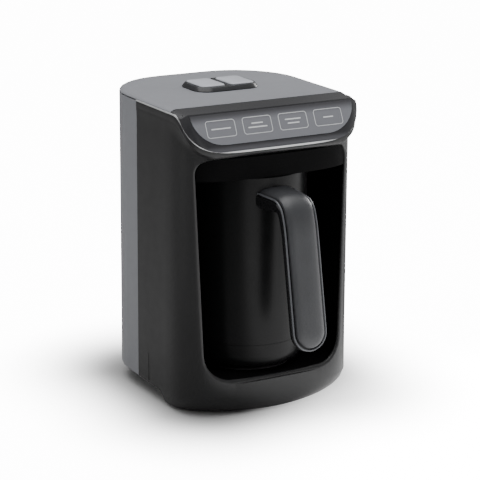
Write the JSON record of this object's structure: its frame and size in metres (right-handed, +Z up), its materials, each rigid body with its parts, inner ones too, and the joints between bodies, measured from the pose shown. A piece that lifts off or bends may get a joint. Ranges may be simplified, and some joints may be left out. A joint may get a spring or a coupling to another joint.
{
  "type": "electric turkish coffee maker",
  "caption": "Tower coffee maker with an open niche, a heater plate, push buttons on a flat top and a tall lift-out pot with a strap handle.",
  "frame": {"origin": "on the table, under the middle of the whole object with its handle", "axes": "+Z up; the niche and the handle face -Y; +X is to the right of someone who faces the niche from -Y"},
  "size_m": [0.1624, 0.2234, 0.2546],
  "materials": {
    "casing_dark": "satin moulded",
    "casing_silver": "silver satin lacquer",
    "visor_dark": "smoked metallic gloss",
    "panel_film": "brushed metallic film",
    "trim_metal": "satin plated",
    "liner_black": "semi gloss",
    "heater_coating": "dark non-stick coating",
    "steel": "brushed",
    "seal_rubber": "matte",
    "seal_grey": "silicone",
    "circuit_board": "solder mask",
    "component_black": "moulded",
    "component_blue": "moulded",
    "ceramic_white": "ceramic tube",
    "iron_core": "laminated and varnished",
    "shield_alloy": "plain rolled",
    "sensor_red": "infrared window",
    "bezel_dark": "smoked metallic",
    "button_silver": "silver satin lacquer",
    "base_black": "fine grain",
    "pot_dark": "deep metallic lacquer",
    "handle_dark": "polished",
    "handle_soft": "soft touch",
    "fastener": "zinc plated"
  },
  "bodies": {
    "machine": {"front_housing": "casing_dark", "rear_cover": "casing_silver", "top_cover": "casing_silver", "visor": "visor_dark", "panel_overlay": "panel_film", "trim_bead": "trim_metal", "niche_liner": "liner_black", "niche_floor": "liner_black", "niche_header": "liner_black", "plate_seal": "seal_grey", "heater_plate": "heater_coating", "heating_element": "steel", "thermostat": "steel", "thermal_fuse": "ceramic_white", "heat_shield": "shield_alloy", "foam_sensor": "sensor_red", "sensor_board": "circuit_board", "button_bezel": "bezel_dark", "left_spring": "steel", "right_spring": "steel", "tact_switches": "component_black", "control_board": "circuit_board", "buzzer": "component_black", "board_screws": "fastener", "power_board": "circuit_board", "transformer": "iron_core", "relay": "component_blue", "board_brackets": "ceramic_white", "base_plate": "base_black", "front_feet": "seal_rubber", "rear_feet": "seal_rubber", "base_screws": "fastener", "cord_gland": "seal_rubber"},
    "pot": {"pot_body": "pot_dark", "pot_cup": "steel", "pot_foot_ring": "pot_dark", "pot_base_disc": "steel", "handle_shell": "handle_dark", "handle_insert": "handle_soft", "handle_bead": "trim_metal", "handle_screw": "fastener"},
    "left_key": {"left_button": "button_silver"},
    "right_key": {"right_button": "button_silver"}
  },
  "joints": [
    {"name": "pot_slide", "type": "slide", "parent": "machine", "child": "pot", "axis": [0, -1, 0], "range_m": [0, 0.15]},
    {"name": "left_button_press", "type": "slide", "parent": "machine", "child": "left_key", "axis": [0, 0, -1], "range_m": [0, 0.0015], "stiffness_N_per_m": 400, "springref_m": -0.002, "deforming": ["left_spring"]},
    {"name": "right_button_press", "type": "slide", "parent": "machine", "child": "right_key", "axis": [0, 0, -1], "range_m": [0, 0.0015], "stiffness_N_per_m": 400, "springref_m": -0.002, "deforming": ["right_spring"]}
  ]
}
